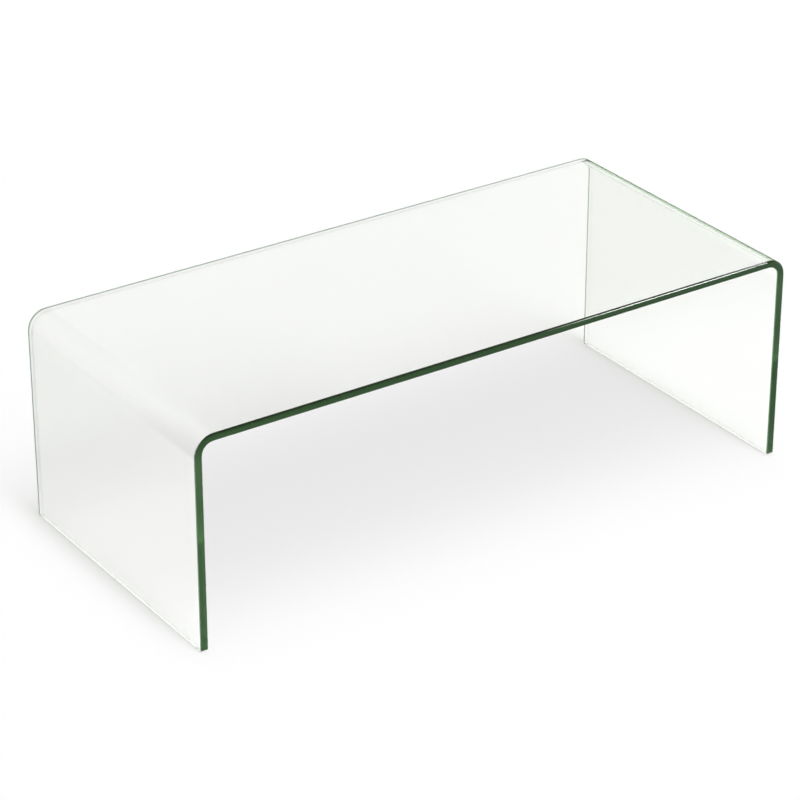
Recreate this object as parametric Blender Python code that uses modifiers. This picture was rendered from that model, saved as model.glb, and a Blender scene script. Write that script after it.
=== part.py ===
"""Coffee table bent from one sheet of clear toughened glass.

The top, the two bends and the two leg panels are a single sheet. It stands on four clear soft pads
stuck under the bottom edges of the legs. Metres, +Z up, +X along the table, the front edge towards -Y,
and the origin on the floor under the middle of the top.
"""

import math

import bmesh
import bpy

# Overall size, with the pads
TABLE_LENGTH = 1.100
TABLE_DEPTH = 0.500
TABLE_HEIGHT = 0.360

# Bent sheet: the inner radius is the bending former's, the arris is the small chamfer ground on every edge
GLASS_THICKNESS = 0.012
BEND_INNER_RADIUS = 0.020
ARRIS_WIDTH = 0.0012
SAFETY_CORNER_RADIUS = 0.003

# Foot pads: each fits the flat of the ground edge, between the two arrises
PAD_HEIGHT = 0.002
PAD_EDGE_MARGIN = 0.0008
PAD_TAPER = 0.0004
PAD_RIM_RADIUS = 0.0005
PAD_END_DISTANCE = 0.045
ADHESIVE_FILM = 0.0003

# Facets
BEND_STEPS = 24
CORNER_STEPS = 5
PAD_SIDES = 32
PAD_RIM_STEPS = 4
SMOOTH_ANGLE = math.radians(30)
ARRIS_MIN_ANGLE = math.radians(60)
MERGE_DISTANCE = 0.00001

# Finish: colour, roughness and how much light passes through
GLASS_COLOUR = (0.80, 0.90, 0.80, 1.0)
GLASS_ROUGHNESS = 0.02
GLASS_IOR = 1.52
PAD_COLOUR = (0.86, 0.88, 0.86, 1.0)
PAD_ROUGHNESS = 0.25
PAD_IOR = 1.49

# Values that follow from the sizes above
HALF_LENGTH = TABLE_LENGTH / 2
HALF_DEPTH = TABLE_DEPTH / 2
BEND_OUTER_RADIUS = BEND_INNER_RADIUS + GLASS_THICKNESS
FOOT_EDGE_HEIGHT = PAD_HEIGHT + ADHESIVE_FILM
PAD_RADIUS = GLASS_THICKNESS / 2 - ARRIS_WIDTH - PAD_EDGE_MARGIN


def clear_scene():
    """Remove whatever the open file holds."""
    for obj in list(bpy.data.objects):
        bpy.data.objects.remove(obj, do_unlink=True)


def new_collection(name):
    """Make a collection in the scene."""
    collection = bpy.data.collections.new(name)
    bpy.context.scene.collection.children.link(collection)
    return collection


def clear_material(name, colour, roughness, ior):
    """Make a see-through, non-metallic finish."""
    material = bpy.data.materials.new(name)
    material.use_nodes = True
    material.diffuse_color = colour
    shader = material.node_tree.nodes["Principled BSDF"]
    shader.inputs["Base Color"].default_value = colour
    shader.inputs["Roughness"].default_value = roughness
    shader.inputs["Metallic"].default_value = 0.0
    shader.inputs["IOR"].default_value = ior
    shader.inputs["Transmission Weight"].default_value = 1.0
    return material


def arc(centre, radius, start, end, steps):
    """Points of an arc in a plane, both ends included."""
    angles = [start + (end - start) * step / steps for step in range(steps + 1)]
    return [(centre[0] + radius * math.cos(a), centre[1] + radius * math.sin(a)) for a in angles]


def sheet_outer_line():
    """The sheet's outer face seen from the front, as (x, z) from the left foot to the right one."""
    bend_x = HALF_LENGTH - BEND_OUTER_RADIUS
    bend_z = TABLE_HEIGHT - BEND_OUTER_RADIUS
    left_bend = arc((-bend_x, bend_z), BEND_OUTER_RADIUS, math.pi, math.pi / 2, BEND_STEPS)
    right_bend = arc((bend_x, bend_z), BEND_OUTER_RADIUS, math.pi / 2, 0.0, BEND_STEPS)
    left_foot = (-HALF_LENGTH, FOOT_EDGE_HEIGHT)
    right_foot = (HALF_LENGTH, FOOT_EDGE_HEIGHT)
    return [left_foot, *left_bend, *right_bend, right_foot]


def sheet_outer_surface():
    """The outer face as an open surface, with the safety corners rounded at the feet.

    The line is swept from the back to the front, which turns the face's normals outwards.
    """
    bm = bmesh.new()
    back_line = [bm.verts.new((x, HALF_DEPTH, z)) for x, z in sheet_outer_line()]
    edges = [bm.edges.new(pair) for pair in zip(back_line, back_line[1:])]
    swept = bmesh.ops.extrude_edge_only(bm, edges=edges)["geom"]
    front_line = [item for item in swept if isinstance(item, bmesh.types.BMVert)]
    bmesh.ops.translate(bm, verts=front_line, vec=(0.0, -TABLE_DEPTH, 0.0))
    corners = [vert for vert in bm.verts if len(vert.link_edges) == 2]
    bmesh.ops.bevel(
        bm,
        geom=corners,
        affect="VERTICES",
        offset_type="OFFSET",
        offset=SAFETY_CORNER_RADIUS,
        segments=CORNER_STEPS,
        profile=0.5,
    )
    mesh = bpy.data.meshes.new("bent_glass_sheet")
    bm.to_mesh(mesh)
    bm.free()
    mesh.shade_smooth()
    return mesh


def add_bent_sheet(collection, material):
    """The glass: the outer face thickened inwards, then an arris on every edge."""
    mesh = sheet_outer_surface()
    mesh.materials.append(material)
    sheet = bpy.data.objects.new("bent_glass_sheet", mesh)
    collection.objects.link(sheet)
    thicken = sheet.modifiers.new("glass_thickness", "SOLIDIFY")
    thicken.thickness = GLASS_THICKNESS
    thicken.offset = -1.0
    thicken.use_even_offset = True
    arris = sheet.modifiers.new("arris", "BEVEL")
    arris.width = ARRIS_WIDTH
    arris.segments = 1
    arris.limit_method = "ANGLE"
    arris.angle_limit = ARRIS_MIN_ANGLE
    arris.harden_normals = True
    return sheet


def pad_profile():
    """Half section of a pad as (radius, height), down its side from the glued face to the floor."""
    floor_radius = PAD_RADIUS - PAD_TAPER
    rim_centre = (floor_radius - PAD_RIM_RADIUS, PAD_RIM_RADIUS)
    rim = arc(rim_centre, PAD_RIM_RADIUS, 0.0, -math.pi / 2, PAD_RIM_STEPS)
    return [(0.0, PAD_HEIGHT), (PAD_RADIUS, PAD_HEIGHT), *rim, (0.0, 0.0)]


def pad_mesh(collection, material):
    """Turn the pad's half section round its axis and keep the result as a mesh."""
    profile = bpy.data.meshes.new("pad_profile")
    bm = bmesh.new()
    points = [bm.verts.new((radius, 0.0, height)) for radius, height in pad_profile()]
    for pair in zip(points, points[1:]):
        bm.edges.new(pair)
    bm.to_mesh(profile)
    bm.free()
    blank = bpy.data.objects.new("pad_blank", profile)
    collection.objects.link(blank)
    turn = blank.modifiers.new("turn", "SCREW")
    turn.steps = PAD_SIDES
    turn.render_steps = PAD_SIDES
    turn.use_merge_vertices = True
    turn.merge_threshold = MERGE_DISTANCE
    mesh = bpy.data.meshes.new_from_object(blank.evaluated_get(bpy.context.evaluated_depsgraph_get()))
    bpy.data.objects.remove(blank, do_unlink=True)
    mesh.name = "foot_pad"
    mesh.shade_smooth()
    mesh.set_sharp_from_angle(angle=SMOOTH_ANGLE)
    mesh.materials.append(material)
    return mesh


def add_foot_pads(collection, material, sheet):
    """A pad under each end of both bottom edges, in the middle of the glass."""
    mesh = pad_mesh(collection, material)
    pad_x = HALF_LENGTH - GLASS_THICKNESS / 2
    pad_y = HALF_DEPTH - PAD_END_DISTANCE
    for end, y in (("front", -pad_y), ("back", pad_y)):
        for side, x in (("left", -pad_x), ("right", pad_x)):
            pad = bpy.data.objects.new(f"foot_pad_{end}_{side}", mesh)
            collection.objects.link(pad)
            pad.location = (x, y, 0.0)
            pad.parent = sheet


def main():
    clear_scene()
    collection = new_collection("bent_glass_coffee_table")
    glass = clear_material("toughened_glass", GLASS_COLOUR, GLASS_ROUGHNESS, GLASS_IOR)
    soft_clear = clear_material("clear_soft_pad", PAD_COLOUR, PAD_ROUGHNESS, PAD_IOR)
    sheet = add_bent_sheet(collection, glass)
    add_foot_pads(collection, soft_clear, sheet)


main()
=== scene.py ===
"""Looks of a coffee table bent from one sheet of clear toughened glass, laid out as an add-on.

Metres, +Z up, +X along the table, the front edge towards -Y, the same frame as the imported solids.
"""

import math

import bpy
import numpy as np
from bpy.props import FloatProperty, FloatVectorProperty, IntProperty, PointerProperty
from bpy.types import Operator, Panel, PropertyGroup
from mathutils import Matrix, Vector


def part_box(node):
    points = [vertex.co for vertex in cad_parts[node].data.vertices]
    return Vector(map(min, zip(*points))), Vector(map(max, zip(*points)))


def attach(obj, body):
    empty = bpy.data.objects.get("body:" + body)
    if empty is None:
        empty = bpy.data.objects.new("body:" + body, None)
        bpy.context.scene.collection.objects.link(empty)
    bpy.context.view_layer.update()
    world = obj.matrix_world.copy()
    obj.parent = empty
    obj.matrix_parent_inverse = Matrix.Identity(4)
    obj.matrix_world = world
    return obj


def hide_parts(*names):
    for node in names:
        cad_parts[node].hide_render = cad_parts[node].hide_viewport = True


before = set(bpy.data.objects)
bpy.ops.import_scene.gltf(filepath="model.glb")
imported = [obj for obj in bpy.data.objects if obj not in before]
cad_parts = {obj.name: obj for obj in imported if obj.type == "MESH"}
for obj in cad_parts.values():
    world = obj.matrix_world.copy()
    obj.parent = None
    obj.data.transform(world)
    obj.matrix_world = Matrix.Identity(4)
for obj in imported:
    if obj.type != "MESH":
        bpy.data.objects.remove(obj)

bl_info = {
    "name": "Bent glass coffee table",
    "version": (1, 0, 0),
    "blender": (4, 5, 0),
    "location": "View3D > Sidebar > Glass table",
    "description": "Builds a one-sheet bent glass table, its clear foot pads and a pale studio",
    "category": "Add Mesh",
}

SHEET_NODE = "bent_glass_sheet"
PAD_NODES = [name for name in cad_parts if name.startswith("foot_pad")]
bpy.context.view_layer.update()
SHEET_LOW, SHEET_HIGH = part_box(SHEET_NODE)
EDGE_MASK = "ground_edge"
EDGE_FADE = "across_edge"
BEND_MASK = "bend"
GREEN_GLOSS = "green_gloss"
SHEET_UV = "sheet_metres"
WHITE = (1, 1, 1, 1)
BLACK = (0, 0, 0, 1)

# Shapes of the sheet and the pads
CROWN_START = math.radians(45)  # tilt at which the crown of the edge begins
GROUND_START = math.radians(52)  # tilt at which the edge is green
GLINT_END = math.radians(76)  # tilt up to which the crown's gloss is white
BEND_FADE = 4  # power by which the crown and the green on the legs' faces fade in a bend
FOOT_GREEN = 0.1  # share of the edge's green on the edges under the feet
LEAST_GREEN = 0.1  # share of it below which the legs' faces stay clear
LEG_STEPS = 8  # strips along each leg
TOP_STEPS = 24  # strips along the top between the bends
CORNER_POINTS = 7  # points round a safety corner
EASE_POINTS = 7  # points round each ease of the edge
CROWN_POINTS = 13  # points round its crown
RIM_POINTS = 9  # points round the rim of a pad
FILM_SHARE = 0.95  # of the gap between pad and glass, filled by the glue film
PAD_SHARP_ANGLE = math.radians(40)  # angle above which an edge of a pad stays sharp

# Finishes
GLASS_MARKS = 5.0  # scale of the marks on the glass
PAD_MARKS = 300.0  # scale of the marks on the pads
MARKS_DETAIL = 4.0  # octaves of their noise
MARKS_RANGE = (0.4, 0.7)  # noise at which a mark starts and at which it is full
FINE_SCALE = 4.0  # how much finer their height is than their mask
GRINDING_SCALE = (10, 4000, 1)  # grinding marks in a metre along the edge and across it
THROWN_DEPTH = 3.5  # depth of a ray above which the faces have thrown it to and fro

# Depths between which the mirrored floor changes its level, from the front to the back
CARD_START = (-0.82, -0.74)
CARD_END = (-0.74, -0.45)
FRONT_END = (-0.32, -0.24)
BACK_START = (0.12, 0.45)

# Parts of the direction between which the mirrored room changes its level
ROOM_FRONT_Y = (0.3, 0.6)
ROOM_MIDDLE_X = (0.5, 0.58)
ROOM_SIDE_X = (0.0, 0.35)
ROOM_LOW_Z = (0.3, 0.4)
CORNER_X = (0.46, 0.5)
CORNER_Z = (0.425, 0.465)


class SheetSettings(PropertyGroup):
    """Sizes of the bent sheet. Its length, depth and height come from the frame."""

    thickness: FloatProperty(
        name="Thickness", description="Thickness of the glass", default=0.012, unit="LENGTH", precision=4
    )
    bend_length: FloatProperty(
        name="Bend length",
        description="Length of each bend along the middle of the glass",
        default=0.0548,
        unit="LENGTH",
        precision=4,
    )
    bend_easing: FloatProperty(
        name="Bend easing",
        description="Share of a bend over which its curve tightens, and again over which it opens",
        default=0.3,
        subtype="FACTOR",
        min=0.05,
        max=0.5,
    )
    ease: FloatProperty(
        name="Outer ease",
        description="Radius where the outer face turns into the ground edge",
        default=0.0003,
        unit="LENGTH",
        precision=5,
    )
    crown: FloatProperty(
        name="Crown",
        description="Radius that polishing leaves on the outer half of the top's front edge",
        default=0.007,
        unit="LENGTH",
        precision=4,
    )
    inner_ease: FloatProperty(
        name="Inner ease",
        description="Radius where the ground edge turns into the inner face",
        default=0.0004,
        unit="LENGTH",
        precision=5,
    )
    corner_radius: FloatProperty(
        name="Safety corner",
        description="Radius of the corners at the feet",
        default=0.003,
        unit="LENGTH",
        precision=4,
    )
    bend_steps: IntProperty(name="Bend steps", description="Strips round each bend", default=192, min=8)


class GlassSettings(PropertyGroup):
    """Finish of the glass."""

    ior: FloatProperty(name="IOR", description="Refraction of float glass", default=1.50)
    tint: FloatVectorProperty(
        name="Tint", description="Colour that deep glass keeps", subtype="COLOR", default=(0.35, 0.55, 0.15)
    )
    density: FloatProperty(name="Tint density", description="Strength of the tint in a metre", default=2.0)
    edge_colour: FloatVectorProperty(
        name="Edge colour",
        description="Green of the ground edge",
        subtype="COLOR",
        default=(0.015, 0.055, 0.015),
    )
    edge_gloss: FloatVectorProperty(
        name="Edge gloss",
        description="Tint of the ground edge's gloss",
        subtype="COLOR",
        default=(0.43, 1.0, 0.40),
    )
    far_edge: FloatVectorProperty(
        name="Far edge",
        description="Tint of an edge that is seen from inside the glass",
        subtype="COLOR",
        default=(0.02, 0.14, 0.015),
    )
    far_edge_width: FloatProperty(
        name="Far edge width",
        description="Share of the glass's thickness over which that tint fades",
        default=0.75,
        subtype="FACTOR",
        min=0.05,
        max=1.0,
    )
    far_edge_mean: FloatProperty(
        name="Far edge mean",
        description="Share of that fade in light that the faces have thrown to and fro",
        default=0.6,
        subtype="FACTOR",
        min=0.0,
        max=1.0,
    )
    face_colour: FloatVectorProperty(
        name="Face colour",
        description="Faint tint of the faces",
        subtype="COLOR",
        default=(0.98, 0.988, 0.972),
    )
    skim_colour: FloatVectorProperty(
        name="Skim colour",
        description="Green of a bend that is seen almost along its face",
        subtype="COLOR",
        default=(0.25, 0.70, 0.20),
    )
    skim_from: FloatProperty(
        name="Skim from",
        description="Slant of the face at which that green starts",
        default=0.56,
        subtype="FACTOR",
        min=0.0,
        max=1.0,
    )
    skim_to: FloatProperty(
        name="Skim to",
        description="Slant of the face at which that green is full",
        default=0.80,
        subtype="FACTOR",
        min=0.0,
        max=1.0,
    )
    smudge: FloatProperty(
        name="Smudge",
        description="Roughness where hands have touched the faces",
        default=0.012,
        subtype="FACTOR",
    )
    grinding: FloatProperty(
        name="Grinding",
        description="Roughness of the fine lines left on the ground edge",
        default=0.02,
        subtype="FACTOR",
    )
    wave: FloatProperty(
        name="Wave",
        description="Height of the faint wave in toughened glass",
        default=0.00001,
        unit="LENGTH",
        precision=6,
    )
    veil: FloatVectorProperty(
        name="Veil",
        description="Light that each face lets down to the floor",
        subtype="COLOR",
        default=(0.898, 0.891, 0.902),
    )


class PadSettings(PropertyGroup):
    """Sizes and finish of the clear pads. Their place, diameter and height come from the frame."""

    taper: FloatProperty(
        name="Taper",
        description="How much the side leans in towards the floor",
        default=0.0004,
        unit="LENGTH",
        precision=5,
    )
    rim_radius: FloatProperty(
        name="Rim radius",
        description="Rounding round the floor face",
        default=0.0005,
        unit="LENGTH",
        precision=5,
    )
    sides: IntProperty(name="Sides", description="Strips round the pad", default=64, min=12)
    ior: FloatProperty(name="IOR", description="Refraction of the soft plastic", default=1.49)
    colour: FloatVectorProperty(
        name="Colour",
        description="Tint of the clear soft plastic",
        subtype="COLOR",
        default=(0.90, 0.92, 0.89),
    )
    cloud: FloatVectorProperty(
        name="Cloud",
        description="Tint where the plastic has gone cloudy",
        subtype="COLOR",
        default=(0.78, 0.80, 0.74),
    )
    smooth: FloatProperty(
        name="Smooth",
        description="Roughness where it is clear",
        default=0.15,
        subtype="FACTOR",
    )
    dull: FloatProperty(
        name="Dull",
        description="Roughness where it is cloudy",
        default=0.35,
        subtype="FACTOR",
    )
    dimple: FloatProperty(
        name="Dimple", description="Height of its moulded grain", default=0.00003, unit="LENGTH", precision=6
    )


class StageSettings(PropertyGroup):
    """Camera, floor and light."""

    azimuth: FloatProperty(
        name="Azimuth", description="Camera's turn about Z", default=math.radians(-34.2585), subtype="ANGLE"
    )
    elevation: FloatProperty(
        name="Elevation", description="Camera's height angle", default=math.radians(27.511), subtype="ANGLE"
    )
    distance: FloatProperty(name="Distance", description="Camera to target", default=5.08953, unit="LENGTH")
    target: FloatVectorProperty(
        name="Target",
        description="Point in the middle of the picture",
        subtype="XYZ",
        default=(-0.01494, 0.01369, 0.15296),
    )
    lens: FloatProperty(name="Lens", description="Focal length in millimetres", default=143.005)
    bounces: IntProperty(name="Bounces", description="Turns that light may take inside the glass", default=64)
    floor_colour: FloatVectorProperty(
        name="Floor", description="Colour of the pale floor", subtype="COLOR", default=(0.95, 0.95, 0.95)
    )
    floor_lift: FloatProperty(
        name="Floor lift", description="White that the picture adds to the floor", default=0.05
    )
    gloss_floor: FloatProperty(
        name="Gloss floor", description="Level of the floor beside the table, mirrored", default=1.6
    )
    gloss_behind: FloatProperty(
        name="Gloss behind", description="Level of the floor behind the table, mirrored", default=0.15
    )
    gloss_ahead: FloatProperty(
        name="Gloss ahead", description="Level of the floor in front of the table, mirrored", default=1.37
    )
    gloss_card: FloatProperty(
        name="Gloss card", description="Level of the floor a step in front of the legs", default=2.4
    )
    gloss_near: FloatProperty(
        name="Gloss near", description="Level of the floor close to the front of the legs", default=1.5
    )
    gloss_slope: FloatProperty(
        name="Gloss slope", description="How fast these two levels fall off to the right", default=0.52
    )
    gloss_front: FloatProperty(name="Gloss front", description="Level of the room in front", default=0.4)
    gloss_left: FloatProperty(
        name="Gloss left", description="Share of the room's level left of the middle", default=0.75
    )
    gloss_side: FloatProperty(
        name="Gloss side", description="Share of the room's level far to the left", default=0.35
    )
    gloss_corner: FloatProperty(
        name="Gloss corner", description="Share of the room's level high up on the left", default=0.4
    )
    gloss_low: FloatProperty(
        name="Gloss low", description="Share of the room's level low down", default=0.48
    )
    low_box_from: FloatVectorProperty(
        name="Low soft box from",
        description="Least direction towards the low soft box",
        default=(0.538, -1.0, 0.0),
    )
    low_box_to: FloatVectorProperty(
        name="Low soft box to",
        description="Greatest direction towards the low soft box",
        default=(0.62, 0.0, 0.27),
    )
    high_box_from: FloatVectorProperty(
        name="High soft box from",
        description="Least direction towards the high soft box",
        default=(0.586, -1.0, 0.42),
    )
    high_box_to: FloatVectorProperty(
        name="High soft box to",
        description="Greatest direction towards the high soft box",
        default=(0.62, 0.0, 0.75),
    )
    box_soft: FloatProperty(name="Soft box edge", description="Softness of their rims", default=0.03)
    box_strength: FloatProperty(
        name="Soft box strength", description="Brightness of both boxes in reflections", default=28.0
    )
    floor_size: FloatProperty(name="Floor size", description="Side of the floor", default=60.0, unit="LENGTH")
    dome: FloatProperty(name="Dome", description="Strength of the light from all round", default=0.06)
    strip: FloatProperty(name="Strip", description="Strength of the long soft light overhead", default=25.3)
    strip_middle: FloatProperty(name="Strip middle", description="Sideways place of the strip", default=0.02)
    strip_width: FloatProperty(name="Strip width", description="Sideways spread of the strip", default=0.1)
    strip_back: FloatProperty(
        name="Strip back", description="How far back past overhead the strip fades", default=0.04
    )
    strip_front: FloatProperty(
        name="Strip front", description="How far to the front the strip fades", default=-0.62
    )
    strip_fade: FloatProperty(name="Strip fade", description="Length over which it fades", default=0.36)


class TableSettings(PropertyGroup):
    """All the settings of the table."""

    sheet: PointerProperty(name="Sheet", description="Sizes of the bent sheet", type=SheetSettings)
    glass: PointerProperty(name="Glass", description="Finish of the glass", type=GlassSettings)
    pad: PointerProperty(name="Pads", description="Sizes and finish of the pads", type=PadSettings)
    stage: PointerProperty(name="Stage", description="Camera, floor and light", type=StageSettings)


def mesh_object(name, points, faces):
    """Put an array of points and groups of faces into a smooth mesh object at the origin."""
    mesh = bpy.data.meshes.new(name)
    mesh.from_pydata(points.tolist(), [], [face for group in faces for face in group.tolist()])
    mesh.shade_smooth()
    obj = bpy.data.objects.new(name, mesh)
    bpy.context.scene.collection.objects.link(obj)
    return obj


def running_sum(values):
    """Sum of the values from the first to each one, by the trapezium rule with a step of 1."""
    return np.concatenate([[0.0], np.cumsum((values[1:] + values[:-1]) / 2)])


def bend_line(sheet):
    """One bend of the middle line: distances from its start, angle turned, way gone on and way gone aside.

    The curvature climbs evenly over the easing, stays, and falls evenly again. The angle is its sum, scaled
    to a quarter turn, and the ways on and aside are the sums of the angle's cosine and sine.
    """
    share = np.linspace(0, 1, sheet.bend_steps + 1)
    curvature = np.minimum(np.minimum(share, 1 - share) / sheet.bend_easing, 1)
    angle = running_sum(curvature)
    angle *= math.pi / 2 / angle[-1]
    step = sheet.bend_length / sheet.bend_steps
    on = running_sum(np.cos(angle)) * step
    aside = running_sum(np.sin(angle)) * step
    return share * sheet.bend_length, angle, on, aside


def straight_lengths(sheet):
    """Lengths of a leg and of the top between the bends, along the middle of the glass."""
    setback = sheet.thickness / 2 + bend_line(sheet)[2][-1]
    return SHEET_HIGH[2] - SHEET_LOW[2] - setback, SHEET_HIGH[0] - SHEET_LOW[0] - 2 * setback


def sheet_line(s, sheet):
    """Middle line of the bent sheet at distances s from the left foot.

    It climbs the left leg, goes on and aside through a bend, runs along the top, goes through the other bend
    with on and aside changing places, and comes down the right leg. Returns points, tangents and normals.
    """
    leg, top = straight_lengths(sheet)
    way, angle, on, aside = bend_line(sheet)
    first = s - leg
    second = first - sheet.bend_length - top
    along = np.clip(first - sheet.bend_length, 0, top)
    down = np.clip(second - sheet.bend_length, 0, None)
    x = SHEET_LOW[0] + sheet.thickness / 2 + np.interp(first, way, aside) + along + np.interp(second, way, on)
    z = SHEET_LOW[2] + np.minimum(s, leg) + np.interp(first, way, on) - np.interp(second, way, aside) - down
    turn = np.interp(first, way, angle) + np.interp(second, way, angle)
    nought = np.zeros_like(s)
    point = np.stack([x, nought, z], -1)
    tangent = np.stack([np.sin(turn), nought, np.cos(turn)], -1)
    outward = np.stack([-np.cos(turn), nought, np.sin(turn)], -1)
    return point, tangent, outward


def edge_reach(sheet):
    """How far the ground edge reaches out past the flat of the faces, with a strip before the ease."""
    return sheet.ease * (1 + math.sin(CROWN_START)) + sheet.crown * (1 - math.sin(CROWN_START))


def sheet_rows(sheet):
    """Rows across the sheet, as distance from the left foot, half width and the plan normal at the +Y end.

    The rows stop where the ground edge begins. Near each foot the half width follows the safety corner, a
    quarter circle of the corner radius less the edge's reach, and elsewhere it is half the depth less that.
    """
    leg, top = straight_lengths(sheet)
    bend = sheet.bend_length
    half_depth = (SHEET_HIGH[1] - SHEET_LOW[1]) / 2
    radius = sheet.corner_radius
    corner = np.linspace(0, math.pi / 2, CORNER_POINTS)
    reach = edge_reach(sheet)
    inset = radius - reach
    near = radius - inset * np.cos(corner)
    total = 2 * (leg + bend) + top
    marks = [radius, leg, leg + bend, leg + bend + top, leg + 2 * bend + top, total - radius]
    steps = [LEG_STEPS, sheet.bend_steps, TOP_STEPS, sheet.bend_steps, LEG_STEPS]
    middle = [np.linspace(a, b, n + 1)[1:] for a, b, n in zip(marks, marks[1:], steps)]
    middle = np.concatenate(middle)[:-1]
    s = np.concatenate([near, middle, total - near[::-1]])
    corner_width = half_depth - radius + inset * np.sin(corner)
    plain = np.ones_like(middle)
    half_width = np.concatenate([corner_width, plain * (half_depth - reach), corner_width[::-1]])
    plan_s = np.concatenate([-np.cos(corner), plain * 0, np.cos(corner[::-1])])
    plan_y = np.concatenate([np.sin(corner), plain, np.sin(corner[::-1])])
    return s, half_width, plan_s, plan_y


def edge_section(sheet, crown):
    """Sections of the ground edge from the outer face to the inner one, one for each crown radius.

    A small arc turns the outer face down, the crown rounds the outer part of the edge, and after the ground
    flat a small arc turns it under to the inner face. On an arc a point is its centre plus the radius times
    the normal, which is the sine and cosine of the tilt. Returns points (out, up), normals and the masks of
    the green steps and of those with a white glint.
    """
    half = sheet.thickness / 2
    reach = edge_reach(sheet)
    ease_tilt = np.linspace(0, CROWN_START, EASE_POINTS)
    crown_tilt = np.linspace(CROWN_START, math.pi / 2, CROWN_POINTS)[1:]
    under_tilt = np.linspace(math.pi / 2, math.pi, EASE_POINTS)
    tilt = np.concatenate([ease_tilt, crown_tilt, under_tilt])
    count = [len(ease_tilt), len(crown_tilt), len(under_tilt)]
    same = np.ones_like(crown)
    widening = crown - sheet.ease
    middle_out = reach - crown
    middle_up = half - sheet.ease - widening * math.cos(CROWN_START)
    radius = np.repeat([sheet.ease * same, crown, sheet.inner_ease * same], count, 0)
    out = [middle_out + widening * math.sin(CROWN_START), middle_out, (reach - sheet.inner_ease) * same]
    up = [(half - sheet.ease) * same, middle_up, (sheet.inner_ease - half) * same]
    out = np.repeat(out, count, 0) + radius * np.sin(tilt)[:, None]
    up = np.repeat(up, count, 0) + radius * np.cos(tilt)[:, None]
    out = np.concatenate([[0 * same], out, [0 * same]])
    up = np.concatenate([[half * same], up, [-half * same]])
    tilt = np.concatenate([[0], tilt, [math.pi]])
    between = (tilt[1:] + tilt[:-1]) / 2
    green = (between > GROUND_START) & (between < math.pi)
    glint = between < GLINT_END
    return np.stack([out, up], -1), np.stack([np.sin(tilt), np.cos(tilt)], -1), green, glint


def quads_of(grid):
    """Values at the four corners of each cell of a grid, in order round the cell."""
    corners = [grid[:-1, :-1], grid[1:, :-1], grid[1:, 1:], grid[:-1, 1:]]
    return np.stack([corner.ravel() for corner in corners], -1)


def running_length(points):
    """Distance run along lines of points, from the first one of each."""
    steps = np.linalg.norm(np.diff(points, axis=0), axis=-1)
    return np.concatenate([0 * steps[:1], np.cumsum(steps, 0)])


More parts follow.
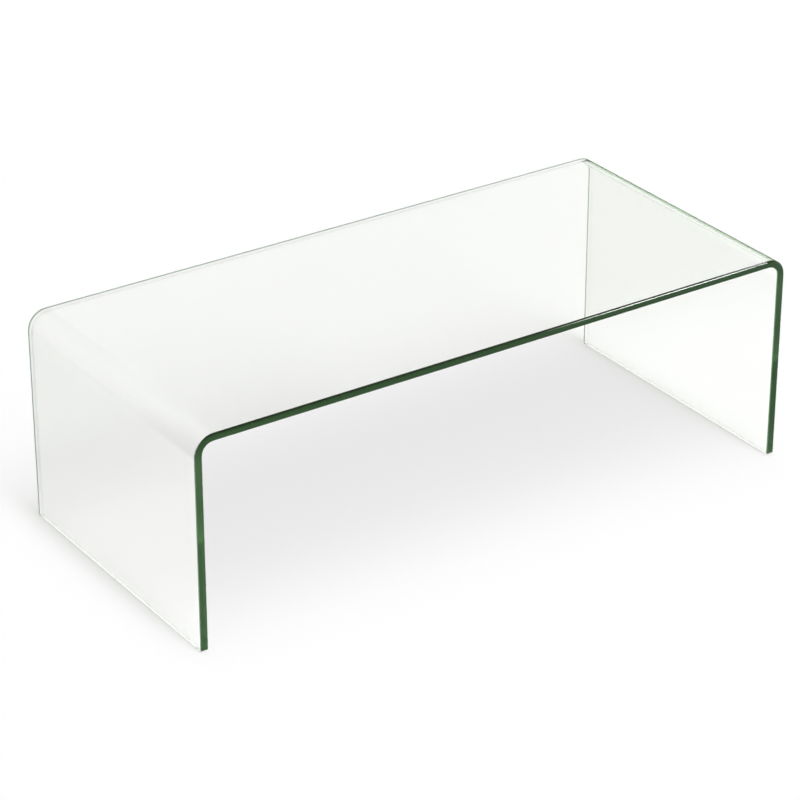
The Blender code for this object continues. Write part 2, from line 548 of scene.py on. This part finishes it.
def bent_sheet_arrays(sheet, columns=12):
    """Points, normals, quads, corner UVs and the masks of the whole sheet.

    Both faces are grids of rows along the middle line and columns across it, half a thickness out and in.
    The edge section is carried round the outline that the two grids share, out along the plan normal.
    The UVs are metres: along and across the sheet on the faces, along and across the edge on the edge.
    The way across the edge goes from 0 on its upper or left side to 1 on the other. The bend mask is four
    times the product of the outward normal's two parts and at most 1, so it is 0 on the flats. The green
    gloss is the edge mask without the crown's glint.
    """
    s, half_width, plan_s, plan_y = sheet_rows(sheet)
    line, tangent, outward = sheet_line(s, sheet)
    rows = len(s)
    sideways = np.array([0.0, 1.0, 0.0])
    width = half_width[:, None] * np.linspace(-1, 1, columns + 1)
    middle = line[:, None, :] + width[..., None] * sideways
    grid = np.arange(rows * (columns + 1)).reshape(rows, columns + 1)
    inner_grid = grid + grid.size

    # The outline runs up the +Y side, across the right foot, back along the -Y side and across the left foot
    up = np.arange(rows)
    ring_row = np.concatenate([up, np.full(columns - 1, rows - 1), up[::-1], np.zeros(columns - 1, int)])
    over = np.arange(columns - 1, 0, -1)
    ring_column = np.concatenate([np.full(rows, columns), over, np.zeros(rows, int), over[::-1]])
    end = np.ones(columns - 1)
    ring_s = np.concatenate([plan_s, end, plan_s[::-1], -end])
    ring_y = np.concatenate([plan_y, end * 0, -plan_y[::-1], end * 0])
    plan = ring_s[:, None] * tangent[ring_row] + ring_y[:, None] * sideways
    base = middle[ring_row, ring_column]
    rise = outward[ring_row]
    # The crown is wide along the front of the top, and no more than an ease elsewhere
    crowned = np.maximum(-ring_y, 0) * np.maximum(rise[:, 2], 0) ** BEND_FADE
    crown = sheet.ease + (sheet.crown - sheet.ease) * crowned
    section, section_normal, green, glint = edge_section(sheet, crown)
    band = base + section[..., :1] * plan + section[..., 1:] * rise
    band_normal = section_normal[:, 0, None, None] * plan + section_normal[:, 1, None, None] * rise

    offset = outward[:, None, :] * sheet.thickness / 2
    face_normal = np.broadcast_to(outward[:, None, :], middle.shape)
    parts = [middle + offset, middle - offset, band[1:-1]]
    part_normals = [face_normal, -face_normal, band_normal[1:-1]]
    points = np.concatenate([part.reshape(-1, 3) for part in parts])
    normals = np.concatenate([part.reshape(-1, 3) for part in part_normals])

    loops = np.arange(band[1:-1, :, 0].size).reshape(len(section) - 2, -1) + 2 * grid.size
    ring = np.concatenate([[grid[ring_row, ring_column]], loops, [inner_grid[ring_row, ring_column]]])
    ring = np.concatenate([ring, ring[:, :1]], 1)
    quads = [quads_of(grid), quads_of(inner_grid)[:, ::-1], quads_of(ring)[:, ::-1]]

    face_u = np.broadcast_to(s[:, None], width.shape)
    face_uv = np.stack([quads_of(face_u), quads_of(width)], -1)
    edge_u = np.broadcast_to(running_length(np.concatenate([base, base[:1]])), ring.shape)
    edge_v = running_length(np.concatenate([section, section[:, :1]], 1))
    edge_uv = np.stack([quads_of(edge_u), quads_of(edge_v)], -1)[:, ::-1]
    uv = np.concatenate([face_uv, face_uv[:, ::-1], edge_uv])
    # The edges under the feet stay almost clear
    long_edge = np.abs(np.append(ring_y, ring_y[0]))
    long_edge = np.maximum((long_edge[1:] + long_edge[:-1]) / 2, FOOT_GREEN)
    band_mask = green[:, None] * long_edge
    # The green of the legs' front edges reaches a little way onto both faces
    leg_front = np.maximum(-ring_y, 0) * rise[:, 0] ** BEND_FADE
    band_mask[[0, -1]] = leg_front * (leg_front > LEAST_GREEN)
    edge_mask = np.concatenate([np.zeros(2 * len(face_uv)), band_mask.ravel()])
    gloss_mask = band_mask * (1 - glint[:, None] * crowned)
    gloss_mask = np.concatenate([np.zeros(2 * len(face_uv)), gloss_mask.ravel()])
    across = 0.5 - section[..., 1] / sheet.thickness
    across = np.where(rise[:, 0] > 0.5, 1 - across, across)
    across = np.concatenate([np.zeros(2 * grid.size), across[1:-1].ravel()])
    bend = np.minimum(4 * np.abs(outward[:, :1] * outward[:, 2:]), 1)
    bend = np.broadcast_to(bend, grid.shape).ravel()
    bend = np.concatenate([bend, bend, np.zeros(len(points) - 2 * grid.size)])
    masks = {EDGE_MASK: edge_mask, GREEN_GLOSS: gloss_mask, EDGE_FADE: across, BEND_MASK: bend}
    return points, normals, quads, uv, masks


def add_bent_sheet(sheet):
    """Make the sheet's object, with its exact normals, its UVs and the masks that its finish reads."""
    points, normals, quads, uv, masks = bent_sheet_arrays(sheet)
    obj = mesh_object("glass_sheet", points, quads)
    mesh = obj.data
    mesh.uv_layers.new(name=SHEET_UV).data.foreach_set("uv", uv.ravel())
    for name, values in masks.items():
        domain = "POINT" if len(values) == len(points) else "FACE"
        mesh.attributes.new(name, "FLOAT", domain).data.foreach_set("value", values)
    mesh.normals_split_custom_set_from_vertices(normals.tolist())
    return obj


def pad_section(pad, radius, height, glue):
    """Half section of a pad as (radius, height), from the middle of the glued face to that of the floor face.

    Down from the glue film's rim the side leans in by the taper, and a quarter circle rounds it to the floor.
    """
    foot = radius - pad.taper
    turn = np.linspace(0, math.pi / 2, RIM_POINTS)
    rim_r = foot - pad.rim_radius * (1 - np.cos(turn))
    rim_z = pad.rim_radius * (1 - np.sin(turn))
    film = radius - 2 * glue
    start_r = [0, film / 2, film, film, radius - glue / 2, radius]
    start_z = [height + glue, height + glue, height + glue, height, height, height - glue / 2]
    section_r = np.concatenate([start_r, rim_r, [foot / 2, 0]])
    section_z = np.concatenate([start_z, rim_z, [0, 0]])
    return section_r, section_z


def add_pad(node, pad):
    """Turn the pad's section round its axis: x is r cos a and y is r sin a, with one point at each pole."""
    low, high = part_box(node)
    film = (SHEET_LOW[2] - high[2]) * FILM_SHARE
    section_r, section_z = pad_section(pad, (high[0] - low[0]) / 2, high[2] - low[2], film)
    angle = np.linspace(0, 2 * math.pi, pad.sides, endpoint=False)
    r = section_r[1:-1, None]
    z = np.broadcast_to(section_z[1:-1, None], (len(r), pad.sides))
    turned = np.stack([r * np.cos(angle), r * np.sin(angle), z], -1).reshape(-1, 3)
    poles = np.array([[0, 0, section_z[0]], [0, 0, section_z[-1]]])
    centre = np.array([(low[0] + high[0]) / 2, (low[1] + high[1]) / 2, low[2]])
    points = np.concatenate([turned, poles]) + centre
    ring = np.arange(len(turned)).reshape(len(r), pad.sides)
    ring = np.concatenate([ring, ring[:, :1]], 1)
    top_pole = np.full(pad.sides, len(turned))
    top = np.stack([top_pole, ring[0, :-1], ring[0, 1:]], -1)
    bottom = np.stack([top_pole + 1, ring[-1, 1:], ring[-1, :-1]], -1)
    obj = mesh_object("clear_" + node, points, [top, quads_of(ring), bottom])
    obj.data.set_sharp_from_angle(angle=PAD_SHARP_ANGLE)
    return obj


def feed(tree, socket, value):
    """Link a socket to another one, or set it to a plain value."""
    if isinstance(value, bpy.types.NodeSocket):
        tree.links.new(value, socket)
    else:
        socket.default_value = value


def math_node(tree, operation, *values):
    """Add a Math node fed by sockets or plain numbers, and give its output."""
    node = tree.nodes.new("ShaderNodeMath")
    node.operation = operation
    for socket, value in zip(node.inputs, values):
        feed(tree, socket, value)
    return node.outputs["Value"]


def smooth_step(tree, value, start, end, low=0.0, high=1.0):
    """Add a Map Range node that goes smoothly from low at start to high at end."""
    node = tree.nodes.new("ShaderNodeMapRange")
    node.interpolation_type = "SMOOTHSTEP"
    for name, number in (("From Min", start), ("From Max", end), ("To Min", low), ("To Max", high)):
        node.inputs[name].default_value = number
    tree.links.new(value, node.inputs["Value"])
    return node.outputs["Result"]


def mix_colours(tree, share, first, second):
    """Add a Mix node that goes from the first colour to the second, and give its output."""
    node = tree.nodes.new("ShaderNodeMix")
    node.data_type = "RGBA"
    for name, value in (("Factor", share), ("A", first), ("B", second)):
        feed(tree, node.inputs[name], value)
    return node.outputs["Result"]


def mix_shaders(tree, share, first, second):
    """Add a Mix Shader node that goes from the first shader to the second, and give its output."""
    node = tree.nodes.new("ShaderNodeMixShader")
    for socket, value in zip(node.inputs, (share, first, second)):
        tree.links.new(value, socket)
    return node.outputs["Shader"]


def clear_shader(tree, colour):
    """Add a Transparent shader of a colour, and give its output."""
    node = tree.nodes.new("ShaderNodeBsdfTransparent")
    feed(tree, node.inputs["Color"], colour)
    return node.outputs["BSDF"]


def mask_value(tree, name):
    """Add an Attribute node that reads one of the sheet's masks, and give its value."""
    node = tree.nodes.new("ShaderNodeAttribute")
    node.attribute_name = name
    return node.outputs["Fac"]


def axes_of(tree, coordinates):
    """Add nodes that split texture coordinates of one kind, and give their X, Y and Z."""
    place = tree.nodes.new("ShaderNodeTexCoord")
    split = tree.nodes.new("ShaderNodeSeparateXYZ")
    tree.links.new(place.outputs[coordinates], split.inputs["Vector"])
    return split.outputs


def new_material(name):
    """Make a material, and give it with its node tree and its Principled shader."""
    material = bpy.data.materials.new(name)
    material.use_nodes = True
    tree = material.node_tree
    return material, tree, tree.nodes["Principled BSDF"]


def marks_group():
    """Node group of faint marks: broad noise gives a mask and a roughness, finer noise gives a height."""
    group = bpy.data.node_groups.new("surface_marks", "ShaderNodeTree")
    group.interface.new_socket("Vector", in_out="INPUT", socket_type="NodeSocketVector")
    for name in ("Scale", "Least Roughness", "Most Roughness"):
        group.interface.new_socket(name, in_out="INPUT", socket_type="NodeSocketFloat")
    for name in ("Mask", "Roughness", "Height"):
        group.interface.new_socket(name, in_out="OUTPUT", socket_type="NodeSocketFloat")
    source = group.nodes.new("NodeGroupInput").outputs
    result = group.nodes.new("NodeGroupOutput").inputs
    broad = group.nodes.new("ShaderNodeTexNoise")
    fine = group.nodes.new("ShaderNodeTexNoise")
    for noise in (broad, fine):
        group.links.new(source["Vector"], noise.inputs["Vector"])
        noise.inputs["Detail"].default_value = MARKS_DETAIL
    group.links.new(source["Scale"], broad.inputs["Scale"])
    group.links.new(math_node(group, "MULTIPLY", source["Scale"], FINE_SCALE), fine.inputs["Scale"])
    mask = smooth_step(group, broad.outputs["Fac"], *MARKS_RANGE)
    level = group.nodes.new("ShaderNodeMapRange")
    group.links.new(mask, level.inputs["Value"])
    group.links.new(source["Least Roughness"], level.inputs["To Min"])
    group.links.new(source["Most Roughness"], level.inputs["To Max"])
    group.links.new(mask, result["Mask"])
    group.links.new(level.outputs["Result"], result["Roughness"])
    group.links.new(fine.outputs["Fac"], result["Height"])
    return group


def shared_marks():
    """The group of marks, made the first time that a finish asks for it."""
    return bpy.data.node_groups.get("surface_marks") or marks_group()


def place_marks(tree, group, scale, least, most):
    """Place the group of marks in a material, on Object coordinates and with its own values."""
    place = tree.nodes.new("ShaderNodeTexCoord")
    marks = tree.nodes.new("ShaderNodeGroup")
    marks.node_tree = group
    for name, value in (("Scale", scale), ("Least Roughness", least), ("Most Roughness", most)):
        marks.inputs[name].default_value = value
    tree.links.new(place.outputs["Object"], marks.inputs["Vector"])
    return marks.outputs


def add_bump(tree, shader, height, distance):
    """Raise the surface's normals by a height of 0 to 1 times the distance."""
    bump = tree.nodes.new("ShaderNodeBump")
    bump.inputs["Distance"].default_value = distance
    tree.links.new(height, bump.inputs["Height"])
    tree.links.new(bump.outputs["Normal"], shader.inputs["Normal"])


def glass_colour(tree, glass, edge):
    """Colour of the glass: a faint tint on the faces, and dark green on the ground edge.

    A bend that is seen almost along its face shows more glass, so it is greener there.
    """
    slant = tree.nodes.new("ShaderNodeLayerWeight")
    skimmed = smooth_step(tree, slant.outputs["Facing"], glass.skim_from, glass.skim_to)
    skimmed = math_node(tree, "MULTIPLY", skimmed, mask_value(tree, BEND_MASK))
    face = mix_colours(tree, skimmed, (*glass.face_colour, 1), (*glass.skim_colour, 1))
    return mix_colours(tree, edge, face, (*glass.edge_colour, 1))


def grinding_lines(tree):
    """Noise that is drawn out into fine lines along the edge."""
    uv = tree.nodes.new("ShaderNodeUVMap")
    uv.uv_map = SHEET_UV
    stretch = tree.nodes.new("ShaderNodeMapping")
    stretch.inputs["Scale"].default_value = GRINDING_SCALE
    tree.links.new(uv.outputs["UV"], stretch.inputs["Vector"])
    lines = tree.nodes.new("ShaderNodeTexNoise")
    lines.inputs["Scale"].default_value = 1.0
    tree.links.new(stretch.outputs["Vector"], lines.inputs["Vector"])
    return lines.outputs["Fac"]


def far_edge_shader(tree, glass, ray_depth):
    """Shader of an edge that is seen from inside the glass.

    It is a green line that fades across the edge, and an even green where the faces throw the light to and
    fro on its way there.
    """
    fade = smooth_step(tree, mask_value(tree, EDGE_FADE), 0.0, glass.far_edge_width)
    thrown = math_node(tree, "GREATER_THAN", ray_depth, THROWN_DEPTH)
    change = math_node(tree, "SUBTRACT", glass.far_edge_mean, fade)
    fade = math_node(tree, "MULTIPLY_ADD", thrown, change, fade)
    return clear_shader(tree, mix_colours(tree, fade, (*glass.far_edge, 1), WHITE))


def glass_material(glass, group):
    """Clear glass that turns green with the length of the light's way, and dark green at its ground edge."""
    material, tree, shader = new_material("clear_bent_glass")
    links = tree.links
    output = tree.nodes["Material Output"]
    shader.inputs["IOR"].default_value = glass.ior
    shader.inputs["Transmission Weight"].default_value = 1.0
    edge = mask_value(tree, EDGE_MASK)
    links.new(glass_colour(tree, glass, edge), shader.inputs["Base Color"])
    gloss = mix_colours(tree, mask_value(tree, GREEN_GLOSS), WHITE, (*glass.edge_gloss, 1))
    links.new(gloss, shader.inputs["Specular Tint"])
    absorption = tree.nodes.new("ShaderNodeVolumeAbsorption")
    absorption.inputs["Color"].default_value = (*glass.tint, 1)
    absorption.inputs["Density"].default_value = glass.density
    links.new(absorption.outputs["Volume"], output.inputs["Volume"])

    # Smudges and a faint wave on the faces, fine grinding lines along the edge
    marks = place_marks(tree, group, GLASS_MARKS, 0.0, glass.smudge)
    ground = math_node(tree, "MULTIPLY", edge, grinding_lines(tree))
    roughness = math_node(tree, "MULTIPLY_ADD", ground, glass.grinding, marks["Roughness"])
    links.new(roughness, shader.inputs["Roughness"])
    add_bump(tree, shader, marks["Height"], glass.wave)

    # A far edge is looked through from inside
    path = tree.nodes.new("ShaderNodeLightPath")
    side = tree.nodes.new("ShaderNodeNewGeometry")
    inside = math_node(tree, "MULTIPLY", edge, side.outputs["Backfacing"])
    far_edge = far_edge_shader(tree, glass, path.outputs["Ray Depth"])
    body = mix_shaders(tree, inside, shader.outputs["BSDF"], far_edge)

    # Light for the floor goes straight through, less what the glass keeps back
    lighting = math_node(tree, "MAXIMUM", path.outputs["Is Shadow Ray"], path.outputs["Is Diffuse Ray"])
    veil = clear_shader(tree, (*glass.veil, 1))
    links.new(mix_shaders(tree, lighting, body, veil), output.inputs["Surface"])
    return material


def pad_material(pad, group):
    """Clear soft plastic with cloudy patches and a fine moulded grain."""
    material, tree, shader = new_material("clear_pad_plastic")
    shader.inputs["IOR"].default_value = pad.ior
    shader.inputs["Transmission Weight"].default_value = 1.0
    marks = place_marks(tree, group, PAD_MARKS, pad.smooth, pad.dull)
    tint = mix_colours(tree, marks["Mask"], (*pad.colour, 1), (*pad.cloud, 1))
    tree.links.new(tint, shader.inputs["Base Color"])
    tree.links.new(marks["Roughness"], shader.inputs["Roughness"])
    add_bump(tree, shader, marks["Height"], pad.dimple)
    return material


def ray_masks(tree):
    """Masks of the rays that the camera sees by, straight or by gloss and glass, and of the mirrored ones."""
    path = tree.nodes.new("ShaderNodeLightPath")
    gloss = path.outputs["Is Glossy Ray"]
    through = path.outputs["Is Transmission Ray"]
    seen = math_node(tree, "MAXIMUM", gloss, through)
    seen = math_node(tree, "MAXIMUM", path.outputs["Is Camera Ray"], seen)
    # A ray that goes straight through glass counts as glossy too
    return seen, math_node(tree, "SUBTRACT", gloss, through)


def mirrored_floor(tree, stage):
    """Brightness of the floor in reflections by its depth.

    From the front it is the level ahead, then a bright card that sinks to the near level, both less the slope
    times x, then the level beside the table, and at last the level behind it. Smooth steps join them.
    """
    place = axes_of(tree, "Object")
    depth = place["Y"]
    near = smooth_step(tree, depth, *CARD_END, stage.gloss_card, stage.gloss_near)
    near = math_node(tree, "MULTIPLY_ADD", place["X"], -stage.gloss_slope, near)
    rise = math_node(tree, "SUBTRACT", near, stage.gloss_ahead)
    rise = math_node(tree, "MULTIPLY", smooth_step(tree, depth, *CARD_START), rise)
    ahead = math_node(tree, "ADD", rise, stage.gloss_ahead)
    ahead = math_node(tree, "MULTIPLY", ahead, smooth_step(tree, depth, *FRONT_END, 1.0, 0.0))
    beside = smooth_step(tree, depth, *BACK_START, stage.gloss_floor, stage.gloss_behind)
    beside = math_node(tree, "MULTIPLY", beside, smooth_step(tree, depth, *FRONT_END))
    return math_node(tree, "ADD", ahead, beside)


def add_floor(stage):
    """A plain pale floor that keeps the table's shadow, with levels of its own in reflections."""
    half = stage.floor_size / 2
    points = np.array([[-half, -half, 0], [half, -half, 0], [half, half, 0], [-half, half, 0]])
    floor = mesh_object("floor", points, [np.array([[0, 1, 2, 3]])])
    material, tree, shader = new_material("pale_floor")
    shader.inputs["Roughness"].default_value = 1.0
    shader.inputs["Specular IOR Level"].default_value = 0.0
    shader.inputs["Emission Color"].default_value = WHITE
    seen, mirrored = ray_masks(tree)
    gloss = math_node(tree, "MULTIPLY", mirrored_floor(tree, stage), mirrored)
    plain = math_node(tree, "MULTIPLY", math_node(tree, "SUBTRACT", seen, mirrored), stage.floor_lift)
    tree.links.new(math_node(tree, "ADD", gloss, plain), shader.inputs["Emission Strength"])
    colour = mix_colours(tree, mirrored, (*stage.floor_colour, 1), BLACK)
    tree.links.new(colour, shader.inputs["Base Color"])
    floor.data.materials.append(material)


def strip_light(tree, stage):
    """Strength of the studio's light by direction: a dome, and a strip from the front to just past overhead.

    Sideways the strip falls off as a bell curve of the direction's x, and to the front and the back as smooth
    steps of its y.
    """
    direction = axes_of(tree, "Generated")
    aside = math_node(tree, "SUBTRACT", direction["X"], stage.strip_middle)
    aside = math_node(tree, "DIVIDE", aside, stage.strip_width)
    square = math_node(tree, "MULTIPLY", aside, aside)
    bell = math_node(tree, "EXPONENT", math_node(tree, "MULTIPLY", square, -1.0))
    depth = direction["Y"]
    fade = stage.strip_fade
    behind = smooth_step(tree, depth, stage.strip_back - fade, stage.strip_back + fade, 1.0, 0.0)
    ahead = smooth_step(tree, depth, stage.strip_front - fade, stage.strip_front + fade)
    strip = math_node(tree, "MULTIPLY", bell, math_node(tree, "MULTIPLY", behind, ahead))
    return math_node(tree, "MULTIPLY_ADD", strip, stage.strip, stage.dome)


def soft_box(tree, direction, low, high, soft):
    """Mask of the directions between low and high on every axis, with soft rims."""
    mask = 1.0
    for axis, start, end in zip("XYZ", low, high):
        past_start = smooth_step(tree, direction[axis], start, start + soft)
        past_end = smooth_step(tree, direction[axis], end - soft, end, 1.0, 0.0)
        mask = math_node(tree, "MULTIPLY", math_node(tree, "MULTIPLY", past_start, past_end), mask)
    return mask


def mirrored_room(tree, stage):
    """Brightness of the room in reflections by direction.

    It is white behind on the right. In front it is dim, and it is multiplied by a share left of the middle,
    far to the left, low down and high up on the left. Two soft boxes at the front right are added.
    """
    direction = axes_of(tree, "Generated")
    room = smooth_step(tree, direction["Y"], *ROOM_FRONT_Y, stage.gloss_front, 1.0)
    middle = smooth_step(tree, direction["X"], *ROOM_MIDDLE_X, stage.gloss_left, 1.0)
    side = smooth_step(tree, direction["X"], *ROOM_SIDE_X, stage.gloss_side, 1.0)
    low = smooth_step(tree, direction["Z"], *ROOM_LOW_Z, stage.gloss_low, 1.0)
    left = smooth_step(tree, direction["X"], *CORNER_X, 1.0, 0.0)
    corner = math_node(tree, "MULTIPLY", smooth_step(tree, direction["Z"], *CORNER_Z), left)
    corner = math_node(tree, "MULTIPLY_ADD", corner, stage.gloss_corner - 1.0, 1.0)
    for share in (middle, side, corner, low):
        room = math_node(tree, "MULTIPLY", room, share)
    low_box = soft_box(tree, direction, stage.low_box_from, stage.low_box_to, stage.box_soft)
    high_box = soft_box(tree, direction, stage.high_box_from, stage.high_box_to, stage.box_soft)
    boxes = math_node(tree, "ADD", low_box, high_box)
    return math_node(tree, "MULTIPLY_ADD", boxes, stage.box_strength, room)


def add_world(stage):
    """A white studio for the eye, lit by the strip and the dome, with levels of its own in reflections."""
    world = bpy.data.worlds.new("studio")
    world.use_nodes = True
    bpy.context.scene.world = world
    tree = world.node_tree
    light = tree.nodes["Background"]
    light.inputs["Color"].default_value = WHITE
    tree.links.new(strip_light(tree, stage), light.inputs["Strength"])
    seen, mirrored = ray_masks(tree)
    white = tree.nodes.new("ShaderNodeBackground")
    white.inputs["Color"].default_value = WHITE
    change = math_node(tree, "SUBTRACT", mirrored_room(tree, stage), 1.0)
    level = math_node(tree, "MULTIPLY_ADD", mirrored, change, 1.0)
    tree.links.new(level, white.inputs["Strength"])
    studio = mix_shaders(tree, seen, light.outputs["Background"], white.outputs["Background"])
    tree.links.new(studio, tree.nodes["World Output"].inputs["Surface"])


def add_camera(stage):
    """The camera at the photograph's angle, aimed at the target."""
    data = bpy.data.cameras.new("camera")
    data.lens = stage.lens
    camera = bpy.data.objects.new("camera", data)
    azimuth = stage.azimuth
    elevation = stage.elevation
    flat = math.cos(elevation)
    back = Vector((math.sin(azimuth) * flat, -math.cos(azimuth) * flat, math.sin(elevation)))
    camera.location = Vector(stage.target) + back * stage.distance
    camera.rotation_euler = (math.pi / 2 - elevation, 0, azimuth)
    bpy.context.scene.collection.objects.link(camera)
    bpy.context.scene.camera = camera


def join_table(obj, node, material):
    """Give a piece its finish and put it in place of its solid."""
    obj.data.materials.append(material)
    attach(obj, "root")
    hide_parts(node)


class TABLE_OT_bent_sheet(Operator):
    """Make the bent glass sheet in place of its solid"""

    bl_idname = "glass_table.bent_sheet"
    bl_label = "Bent glass sheet"

    def execute(self, context):
        settings = context.scene.glass_table
        material = glass_material(settings.glass, shared_marks())
        join_table(add_bent_sheet(settings.sheet), SHEET_NODE, material)
        return {"FINISHED"}


class TABLE_OT_foot_pads(Operator):
    """Make the clear pads under the feet in place of their solids"""

    bl_idname = "glass_table.foot_pads"
    bl_label = "Foot pads"

    def execute(self, context):
        settings = context.scene.glass_table
        material = pad_material(settings.pad, shared_marks())
        for node in PAD_NODES:
            join_table(add_pad(node, settings.pad), node, material)
        return {"FINISHED"}


class TABLE_OT_stage(Operator):
    """Make the floor, the light and the camera"""

    bl_idname = "glass_table.stage"
    bl_label = "Studio stage"

    def execute(self, context):
        stage = context.scene.glass_table.stage
        context.scene.view_settings.view_transform = "Standard"
        # Light that enters an edge is thrown from face to face all the way to the far edge
        cycles = context.scene.cycles
        cycles.max_bounces = stage.bounces
        cycles.glossy_bounces = stage.bounces
        cycles.transmission_bounces = stage.bounces
        add_floor(stage)
        add_world(stage)
        add_camera(stage)
        return {"FINISHED"}


class TABLE_PT_panel(Panel):
    """Lists the steps of the table"""

    bl_idname = "TABLE_PT_panel"
    bl_label = "Bent glass table"
    bl_space_type = "VIEW_3D"
    bl_region_type = "UI"
    bl_category = "Glass table"

    def draw(self, context):
        for step in OPERATORS:
            self.layout.operator(step.bl_idname)


OPERATORS = (TABLE_OT_bent_sheet, TABLE_OT_foot_pads, TABLE_OT_stage)
CLASSES = (
    SheetSettings,
    GlassSettings,
    PadSettings,
    StageSettings,
    TableSettings,
    *OPERATORS,
    TABLE_PT_panel,
)


def register():
    """Register the add-on's classes and the scene's settings."""
    for cls in CLASSES:
        bpy.utils.register_class(cls)
    bpy.types.Scene.glass_table = PointerProperty(
        name="Glass table", description="Settings of the bent glass table", type=TableSettings
    )


def unregister():
    """Take the settings and the classes away again."""
    del bpy.types.Scene.glass_table
    for cls in reversed(CLASSES):
        bpy.utils.unregister_class(cls)


def main():
    """Build the table and its stage."""
    register()
    bpy.ops.glass_table.bent_sheet()
    bpy.ops.glass_table.foot_pads()
    bpy.ops.glass_table.stage()


if __name__ == "__main__":
    main()
